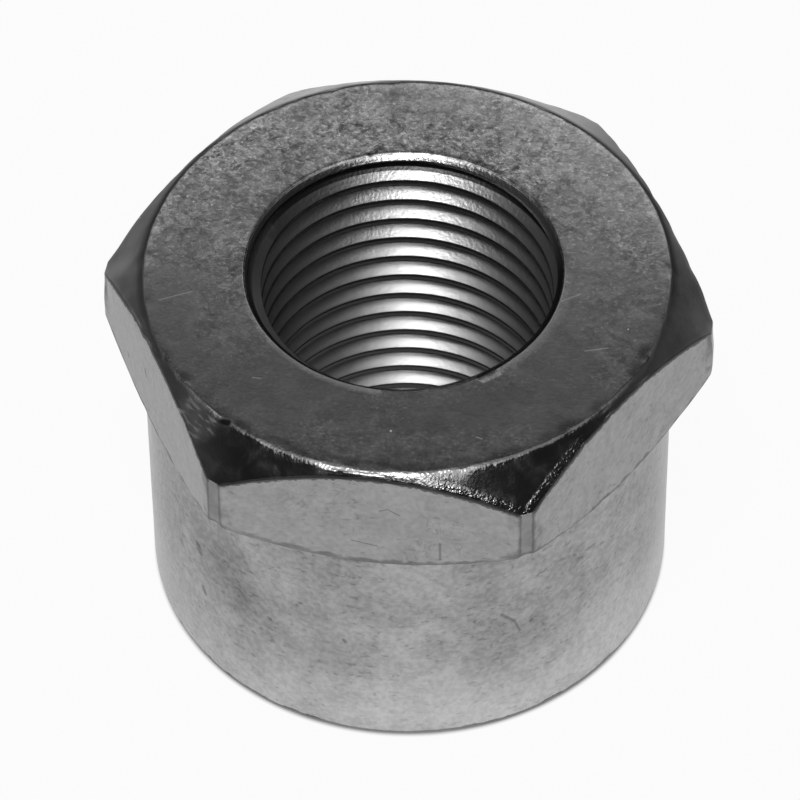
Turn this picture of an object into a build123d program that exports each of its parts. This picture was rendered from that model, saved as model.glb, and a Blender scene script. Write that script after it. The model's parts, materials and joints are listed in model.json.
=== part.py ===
"""Open-ended lug nut, turned in one piece from hexagon bar.

A short hexagon head stands on a round skirt. The crown over the head and the
shoulder under it are both cones, so each flat ends in a curved edge above and
below, and the six corners are turned down to narrow upright strips. A bore for
a fine thread runs right through, with a countersunk mouth at each end.

Millimetres. The origin is the centre of the foot face, +Z runs up the bore to
the crown, and two of the flats face +Y and -Y.
"""

from build123d import *
from math import cos, pi, radians, tan
import os

# Hexagon bar and what is turned off it
across_flats = 27.0      # 1 1/16 inch hexagon
corner_trim = 0.24       # turned off each corner, along the radius
face_inset = 0.37        # from a flat in to the rim of the round top face
skirt_inset = 0.22       # from a flat in to the skirt

# Heights
overall_height = 20.4    # foot to top face
head_height = 6.65       # top face down to where the shoulder meets the skirt

# Cones, measured up from level
crown_angle = 40.0
shoulder_angle = 38.0

# Broken edges
rim_round = 0.15         # rim of the top face
foot_chamfer = 0.35      # outer edge of the foot

# Bore, at the crests of a 5/8-18 thread
bore_diameter = 14.5
mouth_width = 0.75       # each countersink, along the radius
mouth_angle = 90.0       # included

# Radii and levels that follow from the sizes above
flat_radius = across_flats / 2
corner_radius = flat_radius / cos(pi / 6) - corner_trim
face_radius = flat_radius - face_inset
skirt_radius = flat_radius - skirt_inset
bore_radius = bore_diameter / 2
mouth_radius = bore_radius + mouth_width
skirt_height = overall_height - head_height
crown_drop = (corner_radius - face_radius) * tan(radians(crown_angle))
shoulder_rise = (corner_radius - skirt_radius) * tan(radians(shoulder_angle))

with BuildPart() as lug_nut:
    # The hexagon bar, as long as the head
    with BuildSketch(Plane.XY.offset(skirt_height)):
        RegularPolygon(flat_radius, side_count=6, major_radius=False)
    extrude(amount=head_height)

    # Turning the crown, corners and shoulder leaves hyperbolic edges on the flats
    with BuildSketch(Plane.XZ) as head_outline:
        with BuildLine():
            Polyline(
                (0, skirt_height),
                (skirt_radius, skirt_height),
                (corner_radius, skirt_height + shoulder_rise),
                (corner_radius, overall_height - crown_drop),
                (face_radius, overall_height),
                (0, overall_height),
                close=True,
            )
        make_face()
        rim = head_outline.vertices().group_by(Axis.Y)[-1].sort_by(Axis.X)[-1]
        fillet(rim, rim_round)
    revolve(axis=Axis.Z, mode=Mode.INTERSECT)

    # The skirt, down to the foot
    with BuildSketch():
        Circle(skirt_radius)
    extrude(amount=skirt_height)
    foot_edge = lug_nut.edges().group_by(Axis.Z)[0]
    chamfer(foot_edge, foot_chamfer)

    # The bore, countersunk from the top face and from the foot
    top_face = lug_nut.faces().sort_by(Axis.Z)[-1]
    foot_face = lug_nut.faces().sort_by(Axis.Z)[0]
    with Locations(top_face, foot_face):
        CounterSinkHole(bore_radius, mouth_radius, counter_sink_angle=mouth_angle)

lug_nut.part.label = "lug_nut"

os.makedirs("parts", exist_ok=True)
export_step(lug_nut.part, "parts/lug_nut.step")
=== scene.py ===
# %% [markdown]
# # A lug nut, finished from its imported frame
#
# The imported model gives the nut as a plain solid: hexagon, cones, skirt and a smooth bore.
# This lesson builds the same nut again as a fine mesh, with broken edges and a real thread,
# then gives it a plated steel finish, a floor, soft light and a camera.

# %% Load the frame
import json
from math import acos, cos, hypot, pi, radians, sin, tan

import bmesh
import bpy
from mathutils import Matrix, Vector, noise


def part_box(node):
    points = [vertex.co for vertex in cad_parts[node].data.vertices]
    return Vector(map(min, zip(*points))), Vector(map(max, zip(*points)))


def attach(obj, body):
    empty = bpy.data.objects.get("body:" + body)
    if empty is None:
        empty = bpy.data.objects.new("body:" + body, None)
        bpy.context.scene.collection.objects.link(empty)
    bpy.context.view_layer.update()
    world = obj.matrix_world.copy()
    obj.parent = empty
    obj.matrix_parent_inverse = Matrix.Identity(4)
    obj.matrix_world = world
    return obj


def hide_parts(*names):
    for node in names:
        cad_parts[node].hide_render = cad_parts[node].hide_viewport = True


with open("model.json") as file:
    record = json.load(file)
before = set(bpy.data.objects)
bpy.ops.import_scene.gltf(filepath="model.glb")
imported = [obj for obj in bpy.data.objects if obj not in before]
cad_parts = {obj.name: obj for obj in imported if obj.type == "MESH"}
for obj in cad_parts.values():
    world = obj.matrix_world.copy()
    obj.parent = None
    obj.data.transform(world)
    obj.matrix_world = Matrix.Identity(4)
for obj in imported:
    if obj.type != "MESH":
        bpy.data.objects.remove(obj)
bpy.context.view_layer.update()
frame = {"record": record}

# %% [markdown]
# ## Sizes
#
# Sizes that the frame knows are read from it: the height, the flats, the corners and the
# thread's crests. The others are the turner's own settings, in millimetres and degrees,
# as on a shop drawing. Blender works in metres, so each is multiplied by MM where it is set.

# %% Sizes of the nut
MM = 0.001
NODE = "lug_nut"
AXIS = Vector((0, 0, 1))
CENTRE = Vector((0, 0, 0))

high_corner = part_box(NODE)[1]
mounts = {mount["name"]: mount for mount in frame["record"]["mounts"]}
height = high_corner.z
flat_radius = high_corner.y
corner_radius = high_corner.x
crest_radius = mounts["thread"]["dims"]["r_mm"] * MM

head_height = 6.65 * MM
face_radius = flat_radius - 0.37 * MM
skirt_radius = flat_radius - 0.22 * MM
crown_angle = radians(40)
shoulder_angle = radians(38)
foot_chamfer = 0.35 * MM
mouth_radius = crest_radius + 0.75 * MM
pilot_radius = crest_radius - 0.85 * MM
rim_radius = 7.98 * MM
recess_radius = 7.62 * MM
rim_depth = 0.25 * MM
recess_depth = 0.6 * MM
recess_angle = radians(30)

skirt_height = height - head_height
crown_drop = (corner_radius - face_radius) * tan(crown_angle)
shoulder_rise = (corner_radius - skirt_radius) * tan(shoulder_angle)
mouth_depth = mouth_radius - pilot_radius
print("height", height / MM, "across flats", 2 * flat_radius / MM)

# %% [markdown]
# ## The turned blank
#
# A lathe makes everything on this nut but the flats, so the mesh starts as half a section
# and is spun round the bore's axis. The flats will meet the cones in curves, and the corners
# keep narrow strips of the turned surface. Spinning in arcs that end just where a strip
# begins puts a column of vertices on every such border, so that no thin slivers are left.

# %% Turn the blank
SIDES = 6
FLAT_COLUMNS = 80
STRIP_COLUMNS = 6
SKIRT_ROWS = 44
FACE_ROWS = 14
FOOT_ROWS = 6
MERGE = 0.0005 * MM

flat_half_arc = acos(flat_radius / corner_radius)
strip_arc = 2 * pi / SIDES - 2 * flat_half_arc
flat_directions = [pi / 2 + side * 2 * pi / SIDES for side in range(SIDES)]


def closed_outline(mesh, points):
    """Draws a closed outline in the XZ plane and gives its vertices and edges."""
    corners = [mesh.verts.new((radius, 0, level)) for radius, level in points]
    edges = [mesh.edges.new(pair) for pair in zip(corners, corners[1:] + corners[:1])]
    return corners, edges


blank = bmesh.new()
blank_points = [
    (pilot_radius, mouth_depth),
    (mouth_radius, 0),
    (skirt_radius - foot_chamfer, 0),
    (skirt_radius, foot_chamfer),
    (skirt_radius, skirt_height),
    (corner_radius, skirt_height + shoulder_rise),
    (corner_radius, height - crown_drop),
    (face_radius, height),
    (rim_radius, height),
    (recess_radius, height - rim_depth),
    (recess_radius, height - recess_depth),
    (pilot_radius, height - recess_depth - (recess_radius - pilot_radius) * tan(recess_angle)),
]
FOOT_LINE, SKIRT_LINE, FACE_LINE = 1, 3, 7
corners, lines = closed_outline(blank, blank_points)
for line, rows in ((FOOT_LINE, FOOT_ROWS), (SKIRT_LINE, SKIRT_ROWS), (FACE_LINE, FACE_ROWS)):
    bmesh.ops.subdivide_edges(blank, edges=[lines[line]], cuts=rows - 1)

start = Matrix.Rotation(flat_directions[0] - flat_half_arc, 3, "Z")
bmesh.ops.rotate(blank, verts=blank.verts, cent=CENTRE, matrix=start)
section = blank.verts[:] + blank.edges[:]
for arc, columns in ((2 * flat_half_arc, FLAT_COLUMNS), (strip_arc, STRIP_COLUMNS)):
    turned = bmesh.ops.spin(blank, geom=section, cent=CENTRE, axis=AXIS, angle=arc, steps=columns)
    section = turned["geom_last"]
sixth = blank.verts[:] + blank.edges[:] + blank.faces[:]
for side in range(1, SIDES):
    copied = bmesh.ops.duplicate(blank, geom=sixth)["geom"]
    copied_verts = [item for item in copied if isinstance(item, bmesh.types.BMVert)]
    turn = Matrix.Rotation(side * 2 * pi / SIDES, 3, "Z")
    bmesh.ops.rotate(blank, verts=copied_verts, cent=CENTRE, matrix=turn)
bmesh.ops.remove_doubles(blank, verts=blank.verts, dist=MERGE)
print("turned blank", len(blank.faces), "faces")

# %% [markdown]
# ## The six flats
#
# On the real nut the flats are the hexagon bar that the lathe did not reach. Here each is
# sliced off with a plane, which leaves an open window with a curved edge above and below.
# Bridging the two curves closes the window with upright strips, one for each column.

# %% Cut and close the flats
UPRIGHT = 1.5 * MM


def rise(edge):
    return abs(edge.verts[0].co.z - edge.verts[1].co.z)


for direction in flat_directions:
    outward = Vector((cos(direction), sin(direction), 0))
    everything = blank.verts[:] + blank.edges[:] + blank.faces[:]
    bmesh.ops.bisect_plane(
        blank,
        geom=everything,
        dist=MERGE,
        plane_co=outward * flat_radius,
        plane_no=outward,
        clear_outer=True,
    )
    window = [edge for edge in blank.edges if edge.is_boundary and rise(edge) < UPRIGHT]
    bmesh.ops.bridge_loops(blank, edges=window)
bmesh.ops.recalc_face_normals(blank, faces=blank.faces)
print("open edges left", sum(edge.is_boundary for edge in blank.edges))

# %% [markdown]
# ## Broken edges
#
# No real edge is perfectly sharp, and on bright metal the tiny round along it is what draws
# a dark or shining line. Each kind of edge is picked by where it lies and bevelled by its
# own width. The new vertices are marked as worn, for the unevenness that comes next.

# %% Break the edges
EDGE_ANGLE = radians(20)
NEAR = 0.01 * MM
ROUND_STEPS = 3
HEAD_EDGE_ROUND = 0.1 * MM
worn = blank.verts.layers.float.new("worn")


def radius_of(vert):
    return hypot(vert.co.x, vert.co.y)


def is_ring(edge, radius, level):
    """True where the edge lies on the circle of that radius and level."""
    return all(
        abs(radius_of(vert) - radius) < NEAR and abs(vert.co.z - level) < NEAR
        for vert in edge.verts
    )


def is_head_edge(edge):
    """True for the sharp edges round the flats and the corner strips."""
    outside = all(radius_of(vert) > flat_radius - NEAR for vert in edge.verts)
    return outside and edge.calc_face_angle() > EDGE_ANGLE


def break_edges(edges, width, wear):
    """Rounds edges by a width, and marks the new vertices as worn."""
    made = bmesh.ops.bevel(
        blank,
        geom=edges,
        offset=width,
        offset_type="OFFSET",
        segments=ROUND_STEPS,
        profile=0.5,
        affect="EDGES",
        clamp_overlap=True,
        material=-1,
    )
    for vert in made["verts"]:
        vert[worn] = wear


# Radius, level, width of the round and wear of each ring
rings = [
    (face_radius, height, 0.16 * MM, 1.0),
    (rim_radius, height, 0.06 * MM, 0.05),
    (recess_radius, height - rim_depth, 0.05 * MM, 0.2),
    (mouth_radius, 0, 0.06 * MM, 0.5),
    (skirt_radius, skirt_height, 0.08 * MM, 0.5),
    (skirt_radius, foot_chamfer, 0.12 * MM, 1.0),
    (skirt_radius - foot_chamfer, 0, 0.12 * MM, 1.0),
]
break_edges([edge for edge in blank.edges if is_head_edge(edge)], HEAD_EDGE_ROUND, 1.0)
for ring_radius, ring_level, ring_width, ring_wear in rings:
    ring = [edge for edge in blank.edges if is_ring(edge, ring_radius, ring_level)]
    break_edges(ring, ring_width, ring_wear)
    print("ring", round(ring_radius / MM, 2), round(ring_level / MM, 2), len(ring), "edges")

# %% [markdown]
# ## Rows on the head
#
# The flats and the crown are still single strips from edge to edge. Dents and waves need
# vertices in between, so the upright and the sloping edges are cut into short lengths.

# %% Cut the flats and the crown into rows
FLAT_ROWS = 14
CROWN_ROWS = 6
INNER_WEAR = 0.25
SAME_WAY = 0.009
LEAST_RISE = 0.05 * MM


def cut_rows(edges, rows):
    """Cuts edges into rows. The new vertices lie off the edges, so they are less worn."""
    made = bmesh.ops.subdivide_edges(blank, edges=edges, cuts=rows - 1, use_grid_fill=True)
    for item in made["geom_inner"]:
        if isinstance(item, bmesh.types.BMVert):
            item[worn] = INNER_WEAR


uprights = [
    edge for edge in blank.edges
    if rise(edge) > UPRIGHT and all(radius_of(vert) > flat_radius - NEAR for vert in edge.verts)
]
cut_rows(uprights, FLAT_ROWS)


def is_on_crown(vert):
    """True on the cone that slopes from the round face down to the corners."""
    slope = (radius_of(vert) - face_radius) * tan(crown_angle)
    return abs(height - slope - vert.co.z) < NEAR


def runs_downhill(edge):
    """True where both ends of a sloping edge lie the same way from the axis."""
    first, second = (vert.co.xy.normalized() for vert in edge.verts)
    return abs(first.cross(second)) < SAME_WAY and rise(edge) > LEAST_RISE


slopes = [
    edge for edge in blank.edges
    if all(is_on_crown(vert) for vert in edge.verts) and runs_downhill(edge)
]
cut_rows(slopes, CROWN_ROWS)
print("rows cut", len(uprights), "uprights", len(slopes), "slopes", len(blank.faces), "faces")

# %% [markdown]
# ## Off centre and uneven
#
# The countersink at the crown was cut a little off centre, so its rings are moved aside.
# Handling has also left the surfaces slightly wavy and the edges bruised. Each vertex is
# pushed inwards by a smooth random field, more where it is marked as worn. The nut never
# grows outwards, so it stays inside the size that the frame gives.

# %% Move the mouth and wear the surface
MOUTH_SHIFT = Vector((-0.187, 0.104, 0)) * MM
MOUTH_REACH = mouth_radius + 0.1 * MM
mouth_verts = [
    vert for vert in blank.verts
    if vert.co.z > height / 2 and radius_of(vert) < MOUTH_REACH
]
bmesh.ops.translate(blank, verts=mouth_verts, vec=MOUTH_SHIFT)

SURFACE_WAVE = 0.008 * MM
SURFACE_WAVE_SIZE = 2.2 * MM
BRUISE = 0.07 * MM
BRUISE_SIZE = 0.9 * MM
FIELD_CONTRAST = 0.6


def field(place, size):
    """A smooth random value from 0 to 1 that changes over the given size."""
    return min(max(0.5 + FIELD_CONTRAST * noise.noise(place / size), 0), 1)


# Centre, width and depth of each dent
DENTS = (
    (Vector((-15.3, 0.7, 18.7)) * MM, 2.6 * MM, 0.14 * MM),
    (Vector((15.3, 0.4, 18.4)) * MM, 1.8 * MM, 0.09 * MM),
    (Vector((-7.67, -13.29, 15.4)) * MM, 0.5 * MM, 0.1 * MM),
    (Vector((7.67, -13.29, 15.4)) * MM, 0.5 * MM, 0.08 * MM),
)


def dented(vert):
    """How far the dents push a vertex in."""
    total = 0.0
    for centre, width, depth in DENTS:
        gap = (vert.co - centre).length / width
        total += depth * max(1 - gap * gap, 0) ** 2
    return total


blank.normal_update()
for vert in blank.verts:
    dip = SURFACE_WAVE * field(vert.co, SURFACE_WAVE_SIZE)
    dip += BRUISE * vert[worn] * field(vert.co, BRUISE_SIZE) ** 3
    vert.co -= vert.normal * (dip + dented(vert))
print("mouth vertices moved", len(mouth_verts), "dents", len(DENTS))

# %% [markdown]
# ## The thread
#
# A thread is cut by a tap, so the mesh is cut by one too. The tap starts as one pitch of its
# outline, spun many turns while it climbs by one pitch a turn. Merging the doubles joins the
# turns into one long helical surface, two planes trim it, and two faces cap it.

# %% Make the tap
INCH = 25.4 * MM
THREADS_PER_INCH = 18
pitch = INCH / THREADS_PER_INCH
groove_radius = 7.94 * MM
crest_flat = 0.3 * MM
flank_angle = radians(30)
flank_width = (groove_radius - crest_radius) * tan(flank_angle)
TURN_STEPS = 132
EDGE_ROUND = 0.06 * MM
CREST_DEPTH = -0.085 * MM
FAR_DIRECTION = radians(98.448)
OVERRUN = 1.2 * MM
SPARE_TURNS = 3

crest_level = height - CREST_DEPTH - pitch * FAR_DIRECTION / (2 * pi)
turns = int((height + 2 * OVERRUN) / pitch) + SPARE_TURNS + 1
first_crest = crest_level - pitch * (int(crest_level / pitch) + SPARE_TURNS)

tap = bmesh.new()
tap_points = [
    (crest_radius, 0),
    (crest_radius, crest_flat / 2),
    (groove_radius, crest_flat / 2 + flank_width),
    (groove_radius, pitch - crest_flat / 2 - flank_width),
    (crest_radius, pitch - crest_flat / 2),
    (crest_radius, pitch),
]
tap_verts = [tap.verts.new((radius, 0, first_crest + level)) for radius, level in tap_points]
for pair in zip(tap_verts, tap_verts[1:]):
    tap.edges.new(pair)
bmesh.ops.bevel(
    tap,
    geom=tap_verts[1:-1],
    offset=EDGE_ROUND,
    offset_type="OFFSET",
    segments=2,
    profile=0.5,
    affect="VERTICES",
    material=-1,
)
bmesh.ops.spin(
    tap,
    geom=tap.verts[:] + tap.edges[:],
    cent=CENTRE,
    axis=AXIS,
    dvec=AXIS * pitch / TURN_STEPS,
    angle=2 * pi,
    steps=TURN_STEPS,
)
one_turn = tap.verts[:] + tap.edges[:] + tap.faces[:]
for turn in range(1, turns):
    copied = bmesh.ops.duplicate(tap, geom=one_turn)["geom"]
    copied_verts = [item for item in copied if isinstance(item, bmesh.types.BMVert)]
    bmesh.ops.translate(tap, verts=copied_verts, vec=AXIS * pitch * turn)
bmesh.ops.remove_doubles(tap, verts=tap.verts, dist=MERGE)
for level, side in ((-OVERRUN, -1), (height + OVERRUN, 1)):
    trimmed = bmesh.ops.bisect_plane(
        tap,
        geom=tap.verts[:] + tap.edges[:] + tap.faces[:],
        dist=MERGE,
        plane_co=AXIS * level,
        plane_no=AXIS * side,
        clear_outer=True,
    )
    rim = [item for item in trimmed["geom_cut"] if isinstance(item, bmesh.types.BMEdge)]
    bmesh.ops.edgenet_fill(tap, edges=rim)
bmesh.ops.recalc_face_normals(tap, faces=tap.faces)
print("tap", len(tap.faces), "faces, open edges", sum(not edge.is_manifold for edge in tap.edges))

# %% [markdown]
# ## Cut the thread
#
# A Boolean takes the tap out of the blank. It also makes what is hard to model by hand: the
# way the first turn fades into the countersink.

# %% Cut the thread
scene = bpy.context.scene


def mesh_object(name, mesh):
    """Turns a bmesh into an object at the origin."""
    data = bpy.data.meshes.new(name)
    mesh.to_mesh(data)
    mesh.free()
    made = bpy.data.objects.new(name, data)
    scene.collection.objects.link(made)
    return made


nut = mesh_object("finished_nut", blank)
tap_object = mesh_object("tap", tap)
cut = nut.modifiers.new("thread", "BOOLEAN")
cut.operation = "DIFFERENCE"
cut.solver = "MANIFOLD"
cut.object = tap_object
view_layer = bpy.context.view_layer
view_layer.update()
evaluated = nut.evaluated_get(bpy.context.evaluated_depsgraph_get())
threaded = bpy.data.meshes.new_from_object(evaluated)
nut.modifiers.clear()
nut.data = threaded
bpy.data.objects.remove(tap_object)
threaded.calc_loop_triangles()
print("threaded nut", len(threaded.loop_triangles), "triangles")

# %% [markdown]
# ## Smooth shading
#
# Smooth shading would round off the flats, and flat shading would show every facet. Edges
# steeper than a set angle stay sharp, and weighted normals let each large face keep its
# own direction, so that only the small rounds bend the light.

# %% Shade the nut
SHARP_ANGLE = radians(33)
threaded.shade_smooth()
threaded.set_sharp_from_angle(angle=SHARP_ANGLE)
weighted = nut.modifiers.new("weighted_normals", "WEIGHTED_NORMAL")
weighted.keep_sharp = True

# %% [markdown]
# ## The finish
#
# The nut is plated steel, dulled in patches and dirty in its corners. Metal shows its
# surroundings, so small slopes and changes of gloss make much of the finish, and changes of
# tone do the rest. Each pattern is made from noise, or from a measure of where a point lies,
# and reads the object's own coordinates.

# %% Helpers for the finish


def add_node(tree, kind, inputs=None, **settings):
    """Adds a node, sets its options, and sets or links its sockets."""
    made = tree.nodes.new(kind)
    for name, value in settings.items():
        setattr(made, name, value)
    for socket, value in (inputs or {}).items():
        if isinstance(value, bpy.types.NodeSocket):
            tree.links.new(value, made.inputs[socket])
        else:
            made.inputs[socket].default_value = value
    return made


def mottle(tree, place, size, detail=2.0, distortion=0.0):
    """Noise whose patches are about the given number of millimetres across."""
    sockets = {"Vector": place, "Scale": 1 / size, "Detail": detail, "Distortion": distortion}
    return add_node(tree, "ShaderNodeTexNoise", sockets).outputs["Fac"]


def remap(tree, value, start, end, low=0.0, high=1.0):
    """Changes the range from start to end into the range from low to high."""
    sockets = {"Value": value, "From Min": start, "From Max": end, "To Min": low, "To Max": high}
    made = add_node(tree, "ShaderNodeMapRange", sockets, interpolation_type="SMOOTHSTEP")
    return made.outputs["Result"]


def sums(tree, first, second, operation="ADD"):
    """Two values joined by a sum, or by another operation where it is named."""
    made = add_node(tree, "ShaderNodeMath", {0: first, 1: second}, operation=operation)
    return made.outputs["Value"]


def product(tree, *factors):
    """Several values multiplied."""
    result = factors[0]
    for factor in factors[1:]:
        result = sums(tree, result, factor, "MULTIPLY")
    return result


def stripe(tree, value, centre, half_width, soft=0.02):
    """1 where the value is within the half width of the centre, and 0 further off."""
    off_centre = sums(tree, sums(tree, value, centre, "SUBTRACT"), 0.0, "ABSOLUTE")
    inner = sums(tree, half_width, soft, "SUBTRACT")
    outer = sums(tree, half_width, soft)
    return remap(tree, off_centre, outer, inner)


def swap(tree, mask, outside, inside):
    """The outside value where the mask is 0 and the inside value where it is 1."""
    made = add_node(tree, "ShaderNodeMix", {0: mask, 2: outside, 3: inside}, data_type="FLOAT")
    return made.outputs[0]


# %% [markdown]
# The parts of the nut are finished differently. The shader can tell them apart as an
# inspector would, by measuring: the radius, the width across the nearest flats, the height
# above the shoulder's cone and the depth below the crown's cone. From here on the shader
# counts in millimetres.

# %% Measure where a point lies
steel = bpy.data.materials.new("plated_steel")
steel.use_nodes = True
tree = steel.node_tree
shader = tree.nodes["Principled BSDF"]
here = add_node(tree, "ShaderNodeTexCoord").outputs["Object"]
per_mm = (1 / MM, 1 / MM, 1 / MM)
place = add_node(tree, "ShaderNodeMapping", {"Vector": here, "Scale": per_mm}).outputs["Vector"]
level = add_node(tree, "ShaderNodeSeparateXYZ", {0: place}).outputs["Z"]


def length_of(tree, vector):
    return add_node(tree, "ShaderNodeVectorMath", {0: vector}, operation="LENGTH").outputs["Value"]


def scaled(tree, vector, factors):
    sockets = {0: vector, 1: factors}
    made = add_node(tree, "ShaderNodeVectorMath", sockets, operation="MULTIPLY")
    return made.outputs["Vector"]


def along(tree, place, direction):
    """How far a point lies along a direction, in millimetres."""
    made = add_node(tree, "ShaderNodeVectorMath", {0: place, 1: direction}, operation="DOT_PRODUCT")
    return made.outputs["Value"]


def away_from(tree, place, point):
    """Distance in millimetres from a point."""
    made = add_node(tree, "ShaderNodeVectorMath", {0: place, 1: point}, operation="DISTANCE")
    return made.outputs["Value"]


radius = length_of(tree, scaled(tree, place, (1, 1, 0)))
across = 0.0
for direction in flat_directions[:SIDES // 2]:
    reach = along(tree, place, (cos(direction), sin(direction), 0))
    reach = sums(tree, reach, 0.0, "ABSOLUTE")
    across = sums(tree, across, reach, "MAXIMUM")

over_skirt = sums(tree, radius, skirt_radius / MM, "SUBTRACT")
shoulder_level = sums(tree, product(tree, over_skirt, tan(shoulder_angle)), skirt_height / MM)
above_shoulder = sums(tree, level, shoulder_level, "SUBTRACT")
past_face = sums(tree, radius, face_radius / MM, "SUBTRACT")
crown_level = sums(tree, height / MM, product(tree, past_face, tan(crown_angle)), "SUBTRACT")
below_crown = sums(tree, crown_level, level, "SUBTRACT")

# %% [markdown]
# A dent takes its surface away from the true cone, and the measure of depth has to follow it.
# Only the two dents at the crown's outer corners are wide enough to matter.

# %% Allow for the dents in the crown
CROWN_DENTS = DENTS[:2]
DENT_ALLOWANCE = 1.4
for centre, width, depth in CROWN_DENTS:
    gap = away_from(tree, place, centre / MM)
    eased = remap(tree, gap, width / MM, 0.0, 0.0, DENT_ALLOWANCE * depth / MM)
    below_crown = sums(tree, below_crown, eased, "SUBTRACT")

# %% [markdown]
# Each mask is 1 on its part of the nut and 0 elsewhere. It is given by a limit and by the
# width over which it fades, so that a bruised edge doesn't show as a step.

# %% Helpers for masks


def under(tree, value, limit, fade):
    """1 where the value is under the limit, and 0 where it is past it by the fade."""
    return remap(tree, value, limit + fade, limit)


def over(tree, value, limit, fade):
    """1 where the value is over the limit, and 0 where it falls short of it by the fade."""
    return remap(tree, value, limit - fade, limit)


def off(tree, mask):
    """1 where the mask is 0, and 0 where it is 1."""
    return remap(tree, mask, 1, 0)


def any_of(tree, masks):
    """The highest of several masks."""
    result = masks[0]
    for mask in masks[1:]:
        result = sums(tree, result, mask, "MAXIMUM")
    return result


# %% Masks for the parts
top = height / MM
flat = flat_radius / MM

# Limit and fade of each measure, in millimetres
BORE_RADIUS = (8.3, 0.1)
BORE_LEVEL = (top - 0.08, 0.04)
CROWN_DEPTH = (0.06, 0.04)
SKIRT_TOP = (-0.02, 0.04)
SKIRT_INSIDE = (10.1, 0.1)
STRIP_ACROSS = (flat - 0.06, 0.04)
STRIP_INSIDE = (15.0, 0.1)
FLAT_ACROSS = (flat - 0.08, 0.06)
FACE_RIM = (-0.1, 0.08)
FACE_LEVEL = (top - 0.12, 0.08)

on_bore = product(tree, under(tree, radius, *BORE_RADIUS), under(tree, level, *BORE_LEVEL))
on_crown = under(tree, below_crown, *CROWN_DEPTH)
on_skirt = under(tree, above_shoulder, *SKIRT_TOP)
on_skirt = product(tree, on_skirt, over(tree, radius, *SKIRT_INSIDE))
on_strip = product(tree, under(tree, across, *STRIP_ACROSS), over(tree, radius, *STRIP_INSIDE))
on_strip = product(tree, on_strip, off(tree, on_crown))
on_flat = product(tree, over(tree, across, *FLAT_ACROSS), off(tree, on_crown))
on_flat = product(tree, on_flat, off(tree, on_strip))
on_face = product(tree, under(tree, past_face, *FACE_RIM), over(tree, level, *FACE_LEVEL))

# %% [markdown]
# Plating is never even. Clouds a few millimetres wide are duller or brighter, flakes under
# half a millimetre tilt a little, spangles are small crystals with a tone each, and fine
# grain makes the shine sparkle. Flecks are drawn out sideways, the way the nut was turned.

# %% Patterns in the plating
MIDDLE = (0.35, 0.65)    # where most values of a noise lie
BROAD = (0.3, 0.7)
CLOUD_SIZE = 4.5
PATCH_SIZE = 1.1
FLAKE_SIZE = 0.45
FLECK_SIZE = 0.5
FLECK_SQUEEZE = (1, 1, 2)
SPOT_SIZE = 0.3
GRAIN_SIZE = 0.16
WARPS_PER_MM = 2.0
SPANGLES_PER_MM = 3.4

cloud = mottle(tree, place, CLOUD_SIZE, detail=3.0)
patch = mottle(tree, place, PATCH_SIZE, detail=3.0, distortion=0.6)
flake = mottle(tree, place, FLAKE_SIZE, detail=3.0, distortion=0.8)
fleck = mottle(tree, scaled(tree, place, FLECK_SQUEEZE), FLECK_SIZE, detail=2.0)
spot = mottle(tree, place, SPOT_SIZE, detail=1.0)
grain = mottle(tree, place, GRAIN_SIZE, detail=1.0)
warp = add_node(tree, "ShaderNodeTexNoise", {"Vector": place, "Scale": WARPS_PER_MM})
warp_sockets = {0: place, 1: warp.outputs["Color"]}
warped = add_node(tree, "ShaderNodeVectorMath", warp_sockets, operation="ADD").outputs["Vector"]
spangle_sockets = {"Vector": warped, "Scale": SPANGLES_PER_MM}
spangle = add_node(tree, "ShaderNodeTexVoronoi", spangle_sockets).outputs["Color"]
spangle = add_node(tree, "ShaderNodeSeparateXYZ", {0: spangle}).outputs["X"]

# %% [markdown]
# The plating on the top face is plain in front and flakes more and more towards the back.
# The measure of this is 0 where there are no flakes, and about 1 where there are most.

# %% Where the face is flaky
TO_BACK = (0, 1, 0)
TO_BACK_LEFT = (-0.15, 0.99, 0)
FLAKY_PATCH_SIZE = 5.0
FLAKY_WANDER = (-0.25, 0.25)
FLAKY_REACH = (-5.0, 6.0)
FLAKY_SHARE = (0.1, 0.95)

backwards = along(tree, place, TO_BACK)
flaky = remap(tree, mottle(tree, place, FLAKY_PATCH_SIZE, detail=1.0), *MIDDLE, *FLAKY_WANDER)
flaky_reach = remap(tree, along(tree, place, TO_BACK_LEFT), *FLAKY_REACH, *FLAKY_SHARE)
flaky = sums(tree, sums(tree, flaky, flaky_reach), 0.0, "MAXIMUM")

# %% [markdown]
# Some marks have a place of their own: cloudy areas on the skirt, scratches and dashes on
# the face, pits, a nick in the rim and the rub marks beside it. Each is measured from the
# point, or from the line between two points, where it lies.

# %% Helpers for single marks


def around(tree, place, point, size):
    """1 at a point, fading to 0 at the given distance."""
    return remap(tree, away_from(tree, place, point), size, 0.0)


def line_mark(tree, place, start, end, half_width):
    """1 along the line from start to end, and 0 beyond its half width."""
    start, end = Vector(start), Vector(end)
    span = end - start
    from_start = add_node(tree, "ShaderNodeVectorMath", {0: place, 1: start}, operation="SUBTRACT")
    from_start = from_start.outputs["Vector"]
    reach = along(tree, from_start, span / span.length_squared)
    share = add_node(tree, "ShaderNodeClamp", {"Value": reach}).outputs["Result"]
    nearest = add_node(tree, "ShaderNodeVectorMath", {0: span, "Scale": share}, operation="SCALE")
    gap = away_from(tree, from_start, nearest.outputs["Vector"])
    return remap(tree, gap, half_width, half_width / 3)


# %% Where the marks are
# Clouds on the skirt: centre, size and change of tone
SKIRT_CLOUDS = (
    ((-7.0, -11.3, 7.2), 6.2, -0.085),
    ((-10.8, -7.7, 4.0), 3.5, 0.03),
    ((-2.8, -13.0, 10.0), 2.2, 0.05),
    ((1.4, -13.2, 7.5), 3.0, 0.035),
    ((6.0, -11.8, 8.0), 3.6, -0.05),
    ((11.2, -7.0, 5.0), 4.0, 0.05),
)
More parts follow.
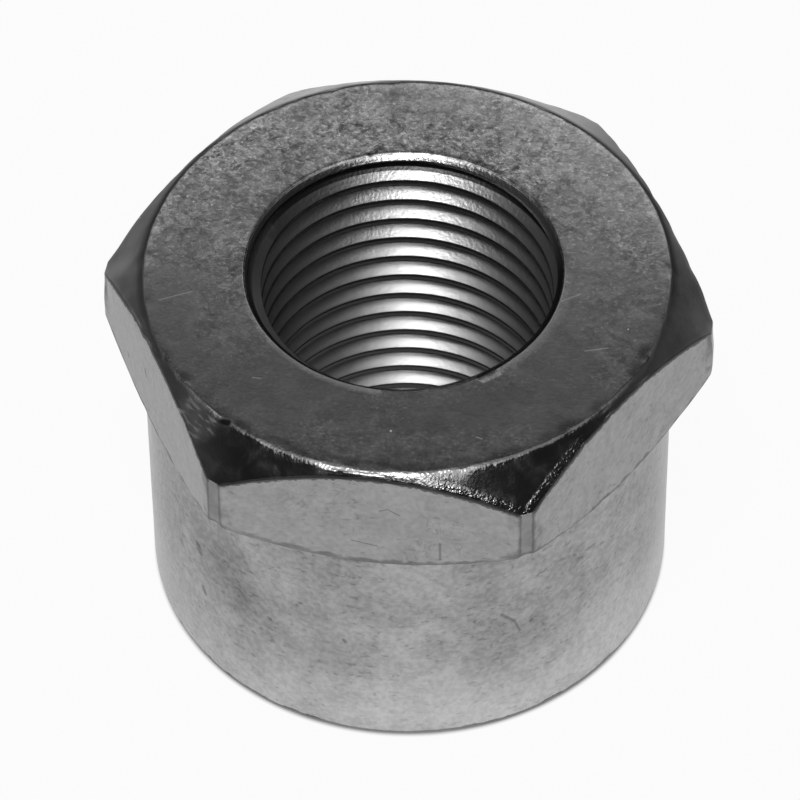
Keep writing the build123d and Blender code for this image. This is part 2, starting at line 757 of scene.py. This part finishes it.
# Scratches in the top face: both ends
SCRATCHES = (
    ((-11.9, -3.55, 20.4), (-10.35, -2.75, 20.4)),
    ((9.35, -4.1, 20.4), (10.45, -3.75, 20.4)),
    ((7.8, -1.0, 20.4), (8.7, -0.4, 20.4)),
    ((8.5, 2.5, 20.4), (9.0, 2.35, 20.4)),
    ((11.7, 3.5, 20.4), (12.3, 3.6, 20.4)),
    ((12.0, 2.3, 20.4), (12.5, 2.2, 20.4)),
    ((12.3, 0.5, 20.4), (12.8, 0.4, 20.4)),
    ((4.8, -10.3, 20.4), (5.1, -10.4, 20.4)),
    ((-6.5, -7.95, 20.4), (-6.1, -7.95, 20.4)),
    ((-8.3, 0.9, 20.4), (-8.2, 1.5, 20.4)),
)
# Pits and short dark lines on the skirt and the flats: both ends and the half width
PITS = (
    ((-9.35, -9.44, 9.0), (-9.2, -9.55, 8.5), 0.3),
    ((-9.15, -9.65, 5.9), (-9.05, -9.75, 5.5), 0.2),
    ((-1.45, -13.2, 7.3), (-1.35, -13.2, 7.15), 0.14),
    ((6.3, -11.7, 8.7), (6.9, -11.35, 7.9), 0.13),
    ((6.9, -11.35, 7.9), (7.15, -11.2, 7.0), 0.1),
    ((-12.32, -5.65, 17.5), (-12.25, -5.75, 17.2), 0.13),
    ((-13.63, -3.4, 16.1), (-13.6, -3.45, 15.9), 0.13),
    ((3.46, -13.5, 15.9), (3.46, -13.5, 14.7), 0.1),
    ((-0.9, -13.5, 15.5), (0.4, -13.5, 15.25), 0.06),
    ((0.5, -13.5, 17.9), (0.9, -13.5, 18.1), 0.06),
    ((0.9, -13.5, 18.1), (1.5, -13.5, 17.7), 0.06),
)
NICK = ((-7.65, -10.9, 20.4), (-7.25, -10.95, 20.35))
RUBBED = (-8.7, -10.3, 20.1)

# %% Draw the marks
SCRATCH_HALF_WIDTH = 0.04
NICK_HALF_WIDTH = 0.3
RUBBED_SIZE, RUBBED_CORE = 1.7, 0.9
RUB_ALONG, RUB_ALONG_RATE = (0.7, -0.7, -0.07), 1.3
RUB_ACROSS, RUB_ACROSS_RATE = (0.54, 0.54, 0.64), 5.0
RUB_LINES = (0.5, 0.66)
DUST_PER_MM = 0.62
DUST_SIZE = (0.045, 0.025)

scratches = any_of(tree, [line_mark(tree, place, *ends, SCRATCH_HALF_WIDTH) for ends in SCRATCHES])
pits = any_of(tree, [line_mark(tree, place, *pit) for pit in PITS])
nick = line_mark(tree, place, *NICK, NICK_HALF_WIDTH)
rubbed = remap(tree, away_from(tree, place, RUBBED), RUBBED_SIZE, RUBBED_CORE)
rubbed = product(tree, rubbed, on_crown)
rub_sockets = {
    "X": product(tree, along(tree, place, RUB_ALONG), RUB_ALONG_RATE),
    "Y": product(tree, along(tree, place, RUB_ACROSS), RUB_ACROSS_RATE),
}
rub_place = add_node(tree, "ShaderNodeCombineXYZ", rub_sockets).outputs["Vector"]
rub_lines = product(tree, rubbed, remap(tree, mottle(tree, rub_place, 1.0), *RUB_LINES))
dust = add_node(tree, "ShaderNodeTexVoronoi", {"Vector": place, "Scale": DUST_PER_MM})
dust = remap(tree, dust.outputs["Distance"], *DUST_SIZE)
dust = product(tree, dust, sums(tree, on_face, on_crown))
print("marks", len(SKIRT_CLOUDS), "clouds", len(SCRATCHES), "scratches", len(PITS), "pits")

# %% [markdown]
# The tone of the metal runs from 0 for black to 1 for white. A part's tone is built up from
# a base and from what each pattern adds or takes away, so that no pattern hides another.
# In the names, TONES are what a pattern gives at its low and at its high end, a REACH is
# where along a direction a change begins and ends, and a SHARE is how much of it applies.

# %% Tone of the top face
FACE_TONES = (0.365, 0.385)
FLAKE_TONES = (-0.07, 0.13)
SPANGLE_TONES = (-0.1, 0.14)
FLAKY_PATCH_TONES = (-0.06, 0.06)
SPECKLE_SIZE = 0.2
SPECKLE_LIMITS = (0.56, 0.72)
SPECKLE_TONES = (-0.01, 0.2)
SPECKLE_FRONT = 0.25
CURL_SIZE = 0.75
CURL_LINE = (0.5, 0.03, 0.02)
CURL_FRONT = 0.2
CURL_TONE = 0.09
TO_BACK_RIGHT = (0.6, 0.8, 0)
PAINTED_LIGHT_REACH = (8.0, 12.0)
PAINTED_LIGHT_TONE = 0.14
FACE_FRONT_SHADE_REACH = (-8.0, 6.0)
FACE_FRONT_SHADE_SHARE = 0.78

tone_face = remap(tree, patch, *MIDDLE, *FACE_TONES)
tone_face = sums(tree, tone_face, product(tree, flaky, remap(tree, flake, *MIDDLE, *FLAKE_TONES)))
spangled = remap(tree, spangle, 0.0, 1.0, *SPANGLE_TONES)
tone_face = sums(tree, tone_face, product(tree, flaky, spangled))
speckle = mottle(tree, place, SPECKLE_SIZE, detail=1.0)
speckle = remap(tree, speckle, *SPECKLE_LIMITS, *SPECKLE_TONES)
tone_face = sums(tree, tone_face, product(tree, sums(tree, flaky, SPECKLE_FRONT), speckle))
curl = mottle(tree, place, CURL_SIZE, detail=2.0, distortion=2.5)
curl = stripe(tree, curl, *CURL_LINE)
tone_face = sums(tree, tone_face, product(tree, curl, sums(tree, flaky, CURL_FRONT), CURL_TONE))
flaky_patch = remap(tree, patch, *MIDDLE, *FLAKY_PATCH_TONES)
tone_face = sums(tree, tone_face, product(tree, flaky, flaky_patch))
# Painted light and shade: the face is made lighter towards the back right and darker towards the
# front, standing in for what it mirrors there.
painted_light_back_right = remap(tree, along(tree, place, TO_BACK_RIGHT), *PAINTED_LIGHT_REACH, 0.0, PAINTED_LIGHT_TONE)
tone_face = sums(tree, tone_face, painted_light_back_right)
tone_face = product(tree, tone_face, remap(tree, backwards, *FACE_FRONT_SHADE_REACH, FACE_FRONT_SHADE_SHARE, 1.0))

# %% [markdown]
# The flats still have the skin of the bar: lighter, with short flecks and here and there a
# net of fine dark veins, which are thin contour lines of a noise.

# %% Tone of the flats and the corner strips
FLAT_TONES = (0.285, 0.335)
FLAT_FLECK_LIMITS = (0.62, 0.72)
FLAT_FLECK_TONE = -0.07
FLAT_SPOT_TONES = (-0.02, 0.02)
VEIN_SIZE = 1.3
VEIN_LINE = (0.5, 0.012, 0.01)
VEINED_CLOUDS = (0.45, 0.6)
VEIN_TONE = -0.07
STRIP_TONES = (0.19, 0.26)

tone_flat = remap(tree, patch, *BROAD, *FLAT_TONES)
tone_flat = sums(tree, tone_flat, remap(tree, fleck, *FLAT_FLECK_LIMITS, 0.0, FLAT_FLECK_TONE))
tone_flat = sums(tree, tone_flat, remap(tree, spot, *BROAD, *FLAT_SPOT_TONES))
vein = mottle(tree, place, VEIN_SIZE, detail=3.0, distortion=1.2)
vein = stripe(tree, vein, *VEIN_LINE)
vein = product(tree, vein, remap(tree, cloud, *VEINED_CLOUDS), VEIN_TONE)
tone_flat = sums(tree, tone_flat, vein)
tone_strip = remap(tree, patch, *BROAD, *STRIP_TONES)

# %% [markdown]
# The skirt is cloudy, and a painted highlight makes it lighter towards the foot, where it mirrors
# the bright floor.
# The crown is darker than the face inside it; painted shade makes it darkest from the middle of
# each side backwards, and painted light makes it a little lighter again behind.

# %% Tone of the skirt and the crown
SKIRT_TONES = (0.28, 0.38)
SKIRT_PATCH_TONES = (-0.02, 0.02)
SKIRT_FLECK_LIMITS = (0.6, 0.7)
SKIRT_FLECK_TONE = -0.09
SKIRT_SPOT_TONES = (-0.035, 0.035)
FOOT_HIGHLIGHT_LEVEL = 8.0
FOOT_HIGHLIGHT = 0.13
CROWN_TONES = (0.25, 0.3)
CROWN_SHADE_REACH = (-1.0, 0.6)
CROWN_SHADE_SHARE = 0.66
CROWN_LIGHT_REACH = (2.0, 9.0)
CROWN_LIGHT_SHARE = 1.2

tone_skirt = remap(tree, cloud, *MIDDLE, *SKIRT_TONES)
tone_skirt = sums(tree, tone_skirt, remap(tree, patch, *MIDDLE, *SKIRT_PATCH_TONES))
tone_skirt = sums(tree, tone_skirt, remap(tree, fleck, *SKIRT_FLECK_LIMITS, 0.0, SKIRT_FLECK_TONE))
tone_skirt = sums(tree, tone_skirt, remap(tree, spot, *BROAD, *SKIRT_SPOT_TONES))
# Painted highlight: the skirt is made lighter towards the foot, standing in for the bright floor
# that it mirrors there.
tone_skirt = sums(tree, tone_skirt, remap(tree, level, FOOT_HIGHLIGHT_LEVEL, 0.0, 0.0, FOOT_HIGHLIGHT))
for centre, size, change in SKIRT_CLOUDS:
    tone_skirt = sums(tree, tone_skirt, product(tree, around(tree, place, centre, size), change))
tone_crown = remap(tree, patch, *BROAD, *CROWN_TONES)
# Painted shade and light: the crown is darker from the middle of its sides backwards, and a little
# lighter again far behind, standing in for what it mirrors.
tone_crown = product(tree, tone_crown, remap(tree, backwards, *CROWN_SHADE_REACH, 1.0, CROWN_SHADE_SHARE))
tone_crown = product(tree, tone_crown, remap(tree, backwards, *CROWN_LIGHT_REACH, 1.0, CROWN_LIGHT_SHARE))

# %% Put the tones together
SCRATCH_TONE = 0.8
SCRATCH_SHARE = 0.5
BORE_TONE = 0.58

tone = swap(tree, on_flat, tone_face, tone_flat)
tone = swap(tree, on_skirt, tone, tone_skirt)
tone = swap(tree, on_crown, tone, tone_crown)
tone = swap(tree, product(tree, scratches, SCRATCH_SHARE), tone, SCRATCH_TONE)
tone = swap(tree, on_strip, tone, tone_strip)
tone = swap(tree, on_bore, tone, BORE_TONE)

# %% [markdown]
# In the bore the tap has polished the flanks. The rest is painted shade: the crests are painted
# dark where they mirror the dark bore, the mouth is darkened on its left, the first groove is
# darkened, and the front of the mouth is painted dark, so that the edge between face and bore
# reads as a thin line.

# %% Tones in the bore
TO_LEFT = (-0.9, 0.43, 0)
LEFT_SHADE_REACH = (5.2, 7.0)
LEFT_SHADE_SHARE = 0.6
LEFT_SHADE_LEVEL = (19.6, 1.0)
LEFT_SHADE_TONE = 0.2
CREST_RADIUS = (crest_radius / MM + 0.015, 0.02)
CREST_SHADE_TONE = 0.12
GROOVE_SHADE_INSIDE = (7.74, 0.06)
GROOVE_SHADE_TOP = (20.1, 0.05)
GROOVE_SHADE_FOOT = (19.2, 0.2)
GROOVE_SHADE_REACH = (1.0, 5.0)
GROOVE_SHADE_SHARE = 0.5
GROOVE_SHADE_TONE = 0.08
MOUTH_EDGE = (8.1, 0.1)
MOUTH_FOOT = (19.85, 0.1)
MOUTH_TOP = (top - 0.03, 0.025)
TO_MOUTH_BACK = (-0.3, 1, 0)
MOUTH_FRONT_REACH = (3.0, -2.0)
MOUTH_FRONT_SHADE_TONE = 0.1

# Painted shade: the left of the mouth is darkened.
left_bore_shade = remap(tree, along(tree, place, TO_LEFT), *LEFT_SHADE_REACH, 0.0, LEFT_SHADE_SHARE)
left_bore_shade = product(tree, on_bore, left_bore_shade, over(tree, level, *LEFT_SHADE_LEVEL))
tone = swap(tree, left_bore_shade, tone, LEFT_SHADE_TONE)
# Painted shade: the crests are made dark where they mirror the dark inside of the bore.
crest_shade = product(tree, on_bore, under(tree, radius, *CREST_RADIUS))
tone = swap(tree, crest_shade, tone, CREST_SHADE_TONE)
# Painted shade: the first groove is darkened where the crest above keeps light from what it
# mirrors, less in front.
groove_shade = product(tree, over(tree, radius, *GROOVE_SHADE_INSIDE), under(tree, level, *GROOVE_SHADE_TOP))
groove_shade = product(tree, groove_shade, under(tree, radius, *BORE_RADIUS))
groove_shade = product(tree, groove_shade, over(tree, level, *GROOVE_SHADE_FOOT))
groove_shade = product(tree, groove_shade, remap(tree, backwards, *GROOVE_SHADE_REACH, GROOVE_SHADE_SHARE, 1.0))
tone = swap(tree, groove_shade, tone, GROOVE_SHADE_TONE)
# Painted shade: the front of the mouth is darkened.
mouth_front_shade = product(tree, under(tree, radius, *MOUTH_EDGE), over(tree, level, *MOUTH_FOOT))
front_reach = remap(tree, along(tree, place, TO_MOUTH_BACK), *MOUTH_FRONT_REACH)
mouth_front_shade = product(tree, mouth_front_shade, front_reach, under(tree, level, *MOUTH_TOP))
tone = swap(tree, mouth_front_shade, tone, MOUTH_FRONT_SHADE_TONE)

# %% [markdown]
# Dark uneven lines are laid along the edges. Under the flats and round the foot they are painted
# shade; round the back of the rim and where the flats meet the crown they are painted dark
# reflections on the rounded edges; along the borders of the corner strips and at their foot they
# are simply darker. Every line is a stripe of one of the measures, with a width that wanders.

# %% Painted shade under the flats, and dark lines along the strips
WANDER_SIZE = 0.8
LINE_LIMITS = (0.32, 0.68)
LINE_WIDTHS = (0.07, 0.3)
FLATS_LINE_HEIGHT, FLATS_LINE_SOFT = 0.07, 0.09
FLATS_LINE_INSIDE = (13.0, 0.1)
TO_RIGHT = (1, 0, 0)
WIDER_REACH = (4.0, -6.0)
WIDER = 0.07
FADED_SIZE = 1.6
FADED_LIMITS = (0.35, 0.6)
FADED_SHARES = (0.3, 0.6)
BORDER_ACROSS, BORDER_SOFT = flat - 0.045, 0.025
BORDER_WIDTHS = (0.015, 0.045)
BORDER_INSIDE = (15.15, 0.15)
BORDER_SHARE = 0.6
STRIP_FOOT = (0.1, 0.4)

wander = mottle(tree, place, WANDER_SIZE, detail=4.0)
line_width = remap(tree, wander, *LINE_LIMITS, *LINE_WIDTHS)
wider = remap(tree, along(tree, place, TO_RIGHT), *WIDER_REACH, 0.0, WIDER)
flats_width = sums(tree, line_width, wider)
# Painted shade: a dark line under the lower edge of the flats, wider to the left.
shade_under_flats = stripe(tree, above_shoulder, FLATS_LINE_HEIGHT, flats_width, FLATS_LINE_SOFT)
faded = remap(tree, mottle(tree, place, FADED_SIZE), *FADED_LIMITS, *FADED_SHARES)
shade_under_flats = product(tree, shade_under_flats, over(tree, radius, *FLATS_LINE_INSIDE), faded)
border_width = remap(tree, wander, *MIDDLE, *BORDER_WIDTHS)
strip_border = stripe(tree, across, BORDER_ACROSS, border_width, BORDER_SOFT)
strip_foot = product(tree, on_strip, under(tree, above_shoulder, *STRIP_FOOT))
strip_border = sums(tree, strip_border, strip_foot, "MAXIMUM")
strip_border = product(tree, strip_border, over(tree, radius, *BORDER_INSIDE), BORDER_SHARE)

# %% Painted shade and dark reflections round the foot, the rim and the crown, and dirt in pits
FOOT_LINE_LEVEL, FOOT_LINE_SOFT = 0.1, 0.05
FOOT_LINE_WIDER = 0.1
FOOT_LINE_INSIDE = (12.6, 0.1)
TO_SIDE = (1, 0.15, 0)
SIDE_SHIFT = 0.5
FOOT_LINE_REACH = (1.5, 5.0)
FOOT_LINE_SHARE = 0.2
RIM_LINE = (0.1, 0.17, 0.14)
RIM_LINE_LEVEL = (20.05, 0.1)
TO_RIM_BACK = (-0.15, 1, 0)
RIM_LINE_REACH = (-7.0, 1.0)
RIM_LINE_SHARE = 0.5
RAGGED_SIZE = 0.3
RAGGED_LIMITS = (0.4, 0.64)
RAGGED_WIDTHS = (0.09, 0.19)
CROWN_LINE_ACROSS = (flat - 0.09, 0.04)
CROWN_LINE_DEPTH = (-0.03, 0.06)
CROWN_LINE_SHARE = 0.8
PIT_SHARE = 0.5

sideways = along(tree, place, TO_SIDE)
# Painted shade: a dark line round the foot, mostly at the sides, standing in for the shaded paper
# that the foot's round mirrors.
foot_width = sums(tree, line_width, FOOT_LINE_WIDER)
foot_shade_line = stripe(tree, level, FOOT_LINE_LEVEL, foot_width, FOOT_LINE_SOFT)
foot_shade_line = product(tree, foot_shade_line, over(tree, radius, *FOOT_LINE_INSIDE))
off_middle = sums(tree, sums(tree, sideways, SIDE_SHIFT), 0.0, "ABSOLUTE")
foot_reach = remap(tree, off_middle, *FOOT_LINE_REACH, FOOT_LINE_SHARE, 1.0)
foot_shade_line = product(tree, foot_shade_line, foot_reach)
# Painted dark reflection: a dark line on the rim's round, towards the back.
rim_dark_reflection = stripe(tree, past_face, *RIM_LINE)
rim_dark_reflection = product(tree, rim_dark_reflection, over(tree, level, *RIM_LINE_LEVEL))
rim_reach = remap(tree, along(tree, place, TO_RIM_BACK), *RIM_LINE_REACH, 0.0, RIM_LINE_SHARE)
rim_dark_reflection = product(tree, rim_dark_reflection, rim_reach)
# Painted dark reflection: a ragged dark line on the round where the flats meet the crown.
ragged = mottle(tree, place, RAGGED_SIZE, detail=3.0)
ragged = remap(tree, ragged, *RAGGED_LIMITS, *RAGGED_WIDTHS)
past_ragged = sums(tree, below_crown, ragged, "SUBTRACT")
in_crown_line = under(tree, past_ragged, *CROWN_LINE_DEPTH)
crown_edge_dark_reflection = over(tree, across, *CROWN_LINE_ACROSS)
crown_edge_dark_reflection = product(tree, crown_edge_dark_reflection, in_crown_line, CROWN_LINE_SHARE)
dirt_in_pits = product(tree, pits, PIT_SHARE)
dirt_and_painted_shade = any_of(tree, [shade_under_flats, strip_border, foot_shade_line, rim_dark_reflection, crown_edge_dark_reflection, dirt_in_pits])

# %% Lay the dirt and painted shade, rub marks, dust and nick over the metal
DIRT_AND_SHADE_TONE = 0.07
DIRT_AND_SHADE_SHARE = 0.85
RUB_TONE = 0.6
RUB_SHARE = 0.8
DUST_TONE = 0.8
NICK_TONE = 0.02

# Painted shade and dirt: the dark lines and the pits darken the metal.
tone = swap(tree, product(tree, dirt_and_painted_shade, DIRT_AND_SHADE_SHARE), tone, DIRT_AND_SHADE_TONE)
tone = swap(tree, product(tree, rub_lines, RUB_SHARE), tone, RUB_TONE)
tone = swap(tree, dust, tone, DUST_TONE)
tone = swap(tree, nick, tone, NICK_TONE)

# %% [markdown]
# Gloss decides how sharply the metal mirrors the lamps. The crown is the glossiest part in
# front and dull at the sides, and the dirt, the painted shade lines and the scratches are dull
# wherever they lie.

# %% Gloss
CLOUD_GLOSS = (0.2, 0.26)
PATCH_GLOSS = (0, 0.05)
FACE_GLOSS = (0.235, 0.27)
CROWN_GLOSS_LIMITS = (0.4, 0.75)
CROWN_GLOSS = (0.15, 0.28)
DULL_REACH = (7.5, 11.5)
DULL_GLOSS = 0.42
RUB_GLOSS = 0.1
BORE_GLOSS = 0.34
DULL_MARK_GLOSS = 0.5
MOUTH_GLOSS = 0.22
MOUTH_BAND = (7.85, 0.25, 0.1)
MOUTH_LEVEL = (20.12, 0.07)

gloss = remap(tree, cloud, *BROAD, *CLOUD_GLOSS)
gloss = sums(tree, gloss, remap(tree, patch, *BROAD, *PATCH_GLOSS))
gloss = swap(tree, sums(tree, on_face, on_flat), gloss, remap(tree, patch, *BROAD, *FACE_GLOSS))
gloss_crown = remap(tree, patch, *CROWN_GLOSS_LIMITS, *CROWN_GLOSS)
aside = sums(tree, sideways, 0.0, "ABSOLUTE")
gloss_crown = swap(tree, remap(tree, aside, *DULL_REACH), gloss_crown, DULL_GLOSS)
gloss_crown = sums(tree, gloss_crown, product(tree, rubbed, RUB_GLOSS))
gloss = swap(tree, on_crown, gloss, gloss_crown)
gloss = swap(tree, on_bore, gloss, BORE_GLOSS)
gloss = swap(tree, any_of(tree, [dirt_and_painted_shade, nick, rub_lines, scratches]), gloss, DULL_MARK_GLOSS)
near_mouth = product(tree, stripe(tree, radius, *MOUTH_BAND), on_bore)
near_mouth = product(tree, near_mouth, over(tree, level, *MOUTH_LEVEL))
gloss = swap(tree, near_mouth, gloss, MOUTH_GLOSS)

# %% [markdown]
# Bump turns the height of a pattern, in millimetres, into slopes of a few degrees, which is
# all that metal needs. The rims get a coarser grain, so that the light along them breaks up
# into sparks, and it is coarsest on the burred edge of the corner in front.

# %% Relief
RIM_BAND = (0.03, 0.2, 0.15)
RIM_REACH = (-4.0, -6.5)
MOUTH_ROUGH_SHARE = 0.7
TO_FRONT_CORNER = (0.5, -0.866, 0)
CORNER_REACH = (12.5, 13.4)
BURR_BAND = (13.25, 0.16, 0.1)
GRAIN_HEIGHT = 0.005
FACE_GRAIN = 0.0022
CROWN_GRAIN = 0.006
BORE_GRAIN_LEVELS = (11.0, 18.0)
BORE_GRAIN = (0.004, 0.013)
RIM_GRAIN = 0.017
BURR_GRAIN = 0.05
PATCH_HEIGHT = 0.012
FACE_PATCH = 0.005
CROWN_PATCH = 0.0015
FLAKE_HEIGHT = 0.01

near_rim = product(tree, stripe(tree, past_face, *RIM_BAND), remap(tree, backwards, *RIM_REACH))
rough_edge = sums(tree, near_rim, product(tree, near_mouth, MOUTH_ROUGH_SHARE), "MAXIMUM")
front_corner = remap(tree, along(tree, place, TO_FRONT_CORNER), *CORNER_REACH)
burred = product(tree, stripe(tree, across, *BURR_BAND), on_crown, front_corner)
grain_height = swap(tree, on_face, GRAIN_HEIGHT, FACE_GRAIN)
grain_height = swap(tree, on_crown, grain_height, CROWN_GRAIN)
bore_grain = remap(tree, level, *BORE_GRAIN_LEVELS, *BORE_GRAIN)
grain_height = swap(tree, on_bore, grain_height, bore_grain)
grain_height = swap(tree, rough_edge, grain_height, RIM_GRAIN)
grain_height = swap(tree, burred, grain_height, BURR_GRAIN)
patch_height = swap(tree, on_face, PATCH_HEIGHT, FACE_PATCH)
patch_height = swap(tree, on_crown, patch_height, CROWN_PATCH)
relief = sums(tree, product(tree, patch, patch_height), product(tree, grain, grain_height))
relief = sums(tree, relief, product(tree, flake, flaky, on_face, FLAKE_HEIGHT))

# %% Plated steel
EDGE_TINT = (0.75, 0.75, 0.75, 1)
DUST_METAL = 0.1

bump = add_node(tree, "ShaderNodeBump", {"Height": relief, "Distance": MM})
tree.links.new(tone, shader.inputs["Base Color"])
tree.links.new(gloss, shader.inputs["Roughness"])
tree.links.new(bump.outputs["Normal"], shader.inputs["Normal"])
tree.links.new(remap(tree, dust, 0, 1, 1.0, DUST_METAL), shader.inputs["Metallic"])
shader.inputs["Specular Tint"].default_value = EDGE_TINT
nut.data.materials.clear()
nut.data.materials.append(steel)
print("plated_steel", len(tree.nodes), "nodes")

# %% Hand the nut to the frame
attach(nut, "root")
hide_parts(NODE)

# %% [markdown]
# ## Floor and light
#
# The nut stands on white paper. The paper glows where the camera sees it and where the steel
# mirrors it, so that it looks burnt out without flooding the nut with light. The glow ends at
# the skirt, which leaves a thin dark line round the foot.

# %% Floor
CAMERA_TURN = radians(8.448)
FLOOR_SIDE = 6.0
PAPER_TONE = (0.8, 0.8, 0.8, 1)
GLOW_SHARE = 0.95
SHADED_GLOW = 0.15

floor_mesh = bmesh.new()
bmesh.ops.create_grid(floor_mesh, x_segments=1, y_segments=1, size=FLOOR_SIDE / 2)
floor = mesh_object("floor", floor_mesh)
paper = bpy.data.materials.new("white_paper")
paper.use_nodes = True
paper_tree = paper.node_tree
paper_shader = paper_tree.nodes["Principled BSDF"]
paper_shader.inputs["Base Color"].default_value = PAPER_TONE
paper_shader.inputs["Roughness"].default_value = 1.0
glow = add_node(paper_tree, "ShaderNodeEmission", {"Strength": 1.0})
rays = add_node(paper_tree, "ShaderNodeLightPath")
seen = sums(paper_tree, rays.outputs["Is Camera Ray"], rays.outputs["Is Glossy Ray"])
seen = sums(paper_tree, seen, rays.outputs["Is Transmission Ray"])
on_paper = add_node(paper_tree, "ShaderNodeTexCoord").outputs["Object"]
from_nut = length_of(paper_tree, on_paper)
shade_start = skirt_radius - 0.2 * MM
shade_end = skirt_radius + 0.1 * MM
open_paper = remap(paper_tree, from_nut, shade_start, shade_end, SHADED_GLOW)
share = product(paper_tree, seen, GLOW_SHARE, open_paper)
mix = add_node(
    paper_tree,
    "ShaderNodeMixShader",
    {0: share, 1: paper_shader.outputs["BSDF"], 2: glow.outputs["Emission"]},
)
paper_tree.links.new(mix.outputs["Shader"], paper_tree.nodes["Material Output"].inputs["Surface"])
floor.data.materials.append(paper)

# %% [markdown]
# Two soft lights hang high above the camera, a wide dim one is overhead, a small one stands
# lower in front, and a white card behind the nut lights its top face. The rest of the room is
# dim, and that is what makes the crown look dark.

# %% Room and lights
ROOM_TONE = (0.03, 0.03, 0.03, 1)
world = bpy.data.worlds.new("dim_room")
scene.world = world
world.use_nodes = True
world.node_tree.nodes["Background"].inputs["Color"].default_value = ROOM_TONE


def light_direction(turn, elevation):
    """The direction towards a light, turned from the camera's side and raised."""
    side = CAMERA_TURN + turn
    return Vector((sin(side) * cos(elevation), -cos(side) * cos(elevation), sin(elevation)))


def softbox(name, turn, elevation, distance, width, tall, brightness):
    """A rectangular light that faces the nut. Brightness is how white it looks from there."""
    data = bpy.data.lights.new(name, "AREA")
    data.shape = "RECTANGLE"
    data.size = width
    data.size_y = tall
    data.energy = brightness * pi * width * tall
    lamp = bpy.data.objects.new(name, data)
    scene.collection.objects.link(lamp)
    target = Vector((0, 0, height / 2))
    towards = light_direction(turn, elevation)
    lamp.location = target + towards * distance
    lamp.rotation_euler = towards.to_track_quat("Z", "Y").to_euler()
    return lamp


# Name, turn, elevation, distance, width, height and brightness, in degrees and metres
LIGHTS = (
    ("key", -14, 69, 0.5, 0.11, 0.14, 12.0),
    ("key_spread", -10, 72, 0.5, 0.40, 0.24, 1.3),
    ("ceiling", 180, 83, 0.5, 0.6, 0.27, 0.5),
    ("side", 5, 53, 0.5, 0.09, 0.04, 7.0),
    ("white_card", 180, 40, 0.6, 0.65, 0.14, 0.78),
)
for name, turn, elevation, *rest in LIGHTS:
    softbox(name, radians(turn), radians(elevation), *rest)
print("lights", [light[0] for light in LIGHTS])

# %% [markdown]
# ## Camera
#
# The photograph was taken with a long view from high in front. The numbers come from
# fitting a camera to the hexagon and the skirt.

# %% Camera
CAMERA_ELEVATION = radians(48.868)
CAMERA_ROLL = radians(0.631)
CAMERA_DISTANCE = 286.12 * MM
AIM_RIGHT = 0.424 * MM
AIM_UP = 6.387 * MM
LENS = 260.02
SENSOR = 36.0

right = Vector((cos(CAMERA_TURN), sin(CAMERA_TURN), 0))
forward = -light_direction(0, CAMERA_ELEVATION)
up = right.cross(forward)
face_centre = Vector((0, 0, height))
camera_data = bpy.data.cameras.new("camera")
camera_data.sensor_width = SENSOR
camera_data.lens = LENS
camera = bpy.data.objects.new("camera", camera_data)
scene.collection.objects.link(camera)
roll = Matrix.Rotation(CAMERA_ROLL, 3, forward)
axes = Matrix((roll @ right, roll @ up, -forward)).transposed().to_4x4()
place_of_camera = face_centre - AIM_RIGHT * right - AIM_UP * up - CAMERA_DISTANCE * forward
camera.matrix_world = Matrix.Translation(place_of_camera) @ axes
scene.camera = camera
scene.view_settings.view_transform = "Standard"

# %% [markdown]
# ## Finish
#
# The imported part stays in the scene, hidden, where the finished nut now stands.
